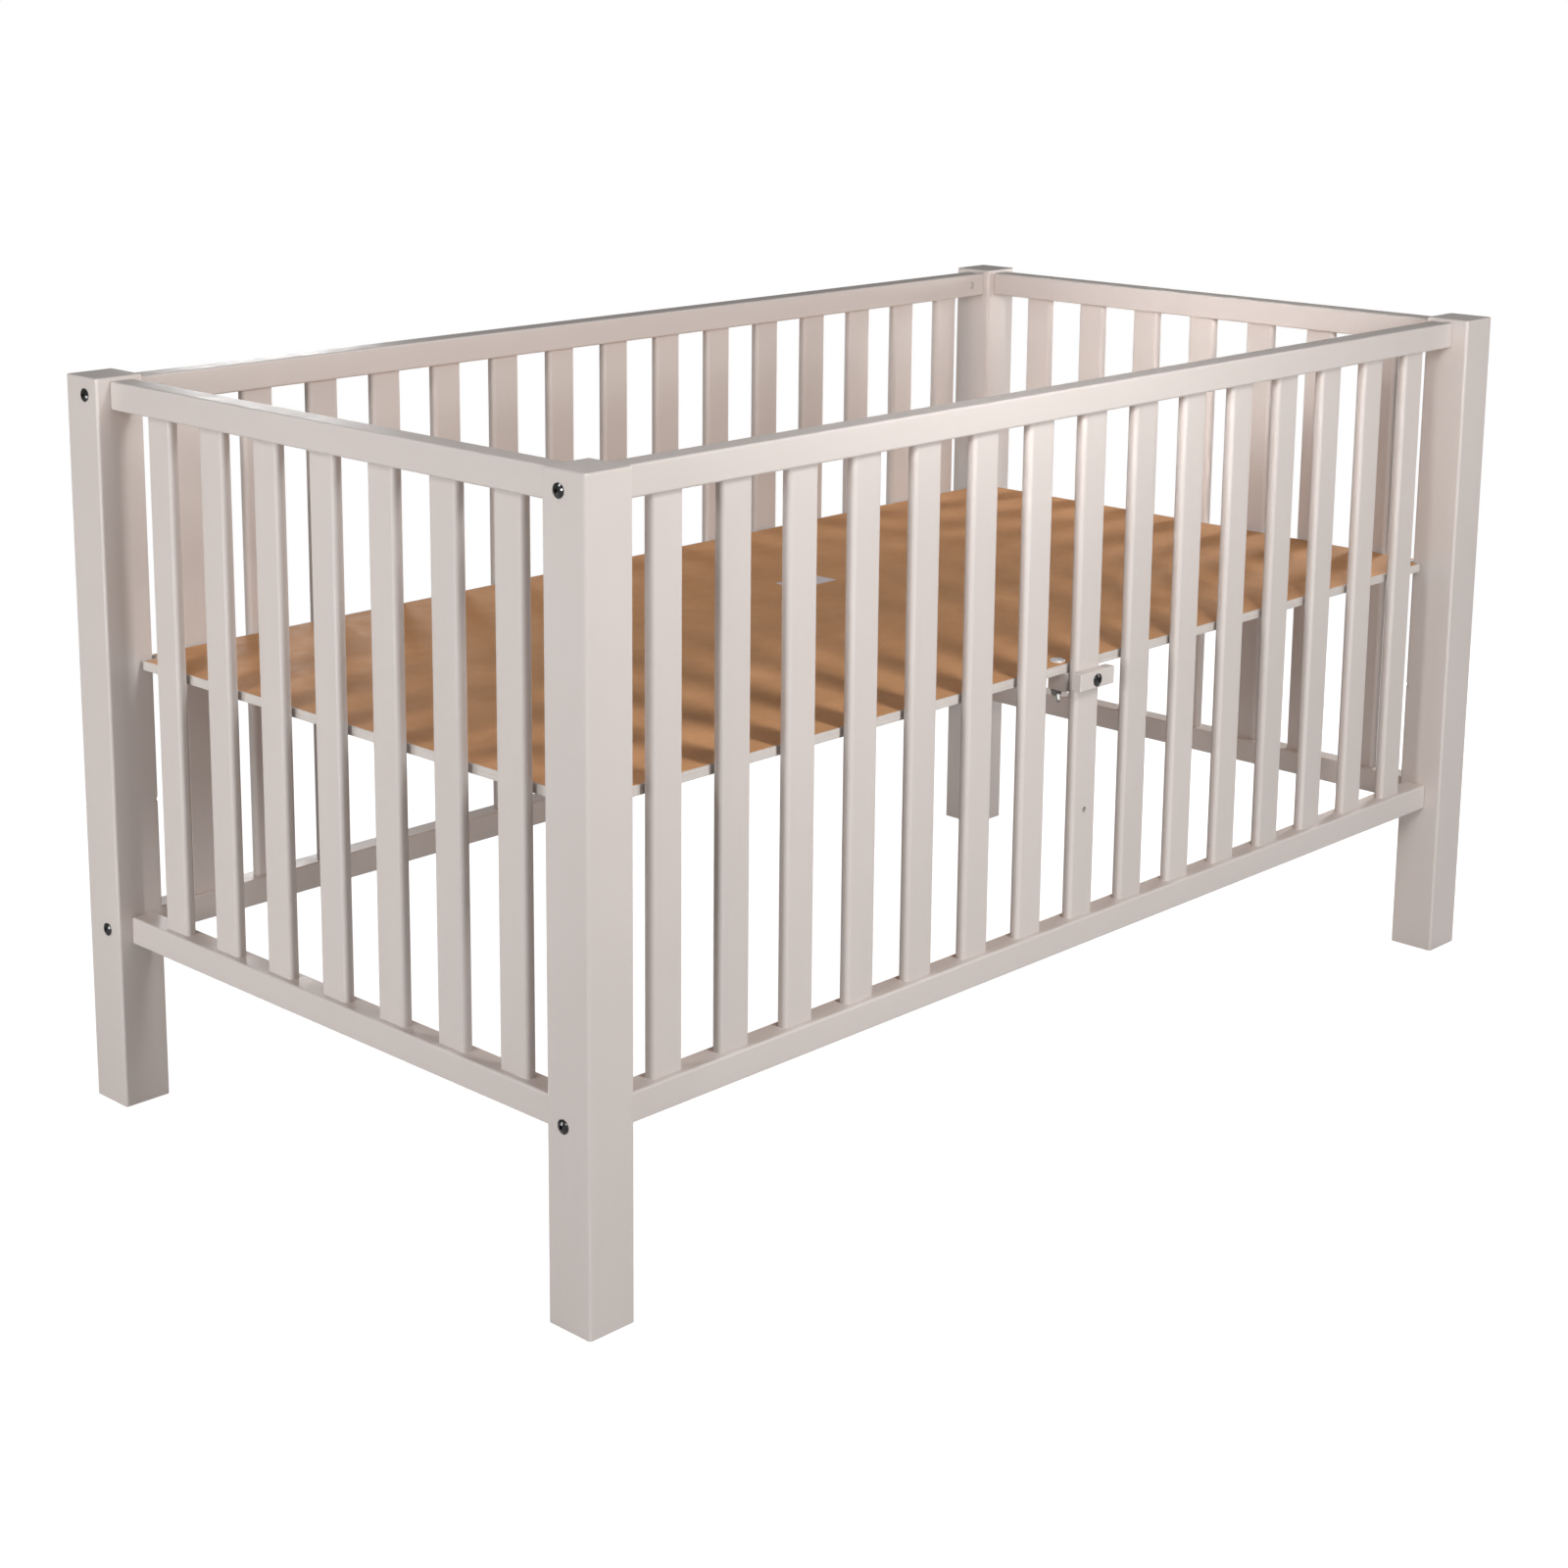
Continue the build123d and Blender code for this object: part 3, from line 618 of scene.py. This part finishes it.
# ------------------------------------------------------------------ materials of the CAD pieces that stay
for name, o in nodes.items():
    slot = o.data.materials[0].name.split(".")[0] if o.data.materials else ""
    m = {"painted_wood": WOOD["X"], "edge_paint": EDGE, "fibreboard": FIBRE, "label_paper": LABEL, "black_steel": BLACK, "zinc_steel": ZINC}[slot]
    # wing nuts and corner supports get the zinc darkened as painted shade
    if name.startswith("wing_nut") or name == "corner_supports":
        m = ZINC_SHADE_DARKENED
    o.data.materials.clear()
    o.data.materials.append(m)

# ------------------------------------------------------------------ floor, light, camera
def stage_material():
    """Pale studio floor: a faint contact shadow near the crib that melts into the white backdrop."""
    k = Tree("studio_floor")
    k.t.nodes.remove(k.b)
    path = k.new("ShaderNodeLightPath")
    geo = k.new("ShaderNodeTexCoord")
    length = k.new("ShaderNodeVectorMath", operation="LENGTH")
    k.link(geo.outputs["Object"], length.inputs[0])
    far = k.remap(length.outputs["Value"], 1.0, 2.3, 0.0, 1.0)
    glow = k.new("ShaderNodeEmission")
    glow.inputs["Color"].default_value = (1, 1, 1, 1)
    glow.inputs["Strength"].default_value = 0.92
    lit = k.new("ShaderNodeBsdfDiffuse")
    lit.inputs["Color"].default_value = (0.30, 0.30, 0.30, 1)
    near = k.new("ShaderNodeAddShader")
    k.link(glow.outputs[0], near.inputs[0])
    k.link(lit.outputs[0], near.inputs[1])
    white = k.new("ShaderNodeEmission")
    white.inputs["Color"].default_value = (1, 1, 1, 1)
    white.inputs["Strength"].default_value = 1.0
    seen = k.new("ShaderNodeMixShader")
    k.link(far, seen.inputs[0])
    k.link(near.outputs[0], seen.inputs[1])
    k.link(white.outputs[0], seen.inputs[2])
    bounce = k.new("ShaderNodeBsdfDiffuse")
    bounce.inputs["Color"].default_value = (0.50, 0.50, 0.50, 1)
    mix = k.new("ShaderNodeMixShader")
    k.link(path.outputs["Is Camera Ray"], mix.inputs[0])
    k.link(bounce.outputs[0], mix.inputs[1])
    k.link(seen.outputs[0], mix.inputs[2])
    k.link(mix.outputs[0], k.out.inputs[0])
    return k.m


floor = mesh_object("studio_floor", [(-30, -30, 0), (30, -30, 0), (30, 30, 0), (-30, 30, 0)], [(0, 1, 2, 3)])
floor.data.materials.append(stage_material())

world = bpy.data.worlds.new("studio")
scene.world = world
world.use_nodes = True
t = world.node_tree
t.nodes.clear()
wo = t.nodes.new("ShaderNodeOutputWorld")
wp = t.nodes.new("ShaderNodeLightPath")
wa = t.nodes.new("ShaderNodeBackground")
wa.inputs["Color"].default_value = (1.0, 1.0, 1.0, 1)
wa.inputs["Strength"].default_value = 0.165
wb = t.nodes.new("ShaderNodeBackground")
wb.inputs["Color"].default_value = (1, 1, 1, 1)
wb.inputs["Strength"].default_value = 1.0
wm = t.nodes.new("ShaderNodeMixShader")
t.links.new(wp.outputs["Is Camera Ray"], wm.inputs[0])
t.links.new(wa.outputs[0], wm.inputs[1])
t.links.new(wb.outputs[0], wm.inputs[2])
t.links.new(wm.outputs[0], wo.inputs[0])


def softbox(name, at, to, wide, tall, watts, colour=(1.0, 1.0, 1.0)):
    d = bpy.data.lights.new(name, "AREA")
    d.shape, d.size, d.size_y, d.energy, d.color = "RECTANGLE", wide, tall, watts, colour
    o = bpy.data.objects.new(name, d)
    scene.collection.objects.link(o)
    o.location = at
    o.rotation_mode = "QUATERNION"
    o.rotation_quaternion = (Vector(to) - Vector(at)).to_track_quat("-Z", "Y")
    o.visible_camera = False
    return o


# two distant keys send slat shadows over the base from the front and the left; the near and high ones, and the fills
# behind and to the right, even out the panels, the base and the far end
for name, at, to, size, watts, spread in (
    ("key_front_far", (-0.60, -3.60, 1.42), (-0.10, 0.0, 0.50), (0.50, 0.60), 43.0, 180),
    ("key_left_far", (-3.70, -0.80, 1.05), (0.00, 0.0, 0.45), (0.50, 0.60), 31.5, 180),
    ("key_front_up", (-0.43, -1.30, 1.45), (-0.05, 0.0, 0.45), (0.25, 0.35), 6.9, 180),
    ("key_front", (-0.43, -1.35, 1.02), (-0.13, 0.0, 0.45), (0.20, 0.55), 1.4, 180),
    ("front_right_near", (0.78, -1.12, 0.88), (0.45, -0.1, 0.45), (0.18, 0.40), 1.2, 180),
    ("key_left_up", (-1.60, 0.00, 1.45), (-0.30, -0.05, 0.45), (0.25, 0.35), 3.8, 180),
    ("key_left_low", (-1.90, 0.45, 0.35), (-0.70, 0.30, 0.28), (0.40, 0.40), 4.2, 180),
    ("beam_right_end", (-1.00, -0.70, 1.20), (0.72, 0.02, 0.70), (0.30, 0.30), 0.42, 24),
    ("right_end", (2.30, 0.00, 0.85), (1.035, 0.0, 0.45), (0.35, 0.45), 31.0, 180),
    ("rear_fill", (0.30, 1.50, 0.86), (0.135, 0.15, 0.45), (0.35, 0.45), 5.2, 180),
):
    softbox(name, at, to, size[0], size[1], watts).data.spread = math.radians(spread)

scene.view_settings.view_transform = "Standard"
scene.view_settings.look = "None"

# camera: position, heading and lens that frame the crib from its front left corner
yaw, pitch, roll = 0.78243, 0.21080, -0.00356
f_px, cx, cy = 2857.53, 720.0, 560.0
fwd = Vector((math.cos(pitch) * math.cos(yaw), math.cos(pitch) * math.sin(yaw), -math.sin(pitch)))
right = Vector((math.sin(yaw), -math.cos(yaw), 0))
down = fwd.cross(right)
r2 = math.cos(roll) * right + math.sin(roll) * down
d2 = -math.sin(roll) * right + math.cos(roll) * down
cam = bpy.data.cameras.new("camera")
cam_o = bpy.data.objects.new("camera", cam)
scene.collection.objects.link(cam_o)
loc = Vector((-2.32108, -2.10445, 1.22924))
cam_o.matrix_world = Matrix(((r2.x, -d2.x, -fwd.x, loc.x), (r2.y, -d2.y, -fwd.y, loc.y), (r2.z, -d2.z, -fwd.z, loc.z), (0, 0, 0, 1)))
cam.sensor_width = 36.0
cam.lens = f_px / 1600 * 36.0
cam.shift_x = (800 - cx) / 1600
cam.shift_y = (cy - 800) / 1600
cam.clip_start, cam.clip_end = 0.05, 100
cam.dof.use_dof = False
scene.camera = cam_o
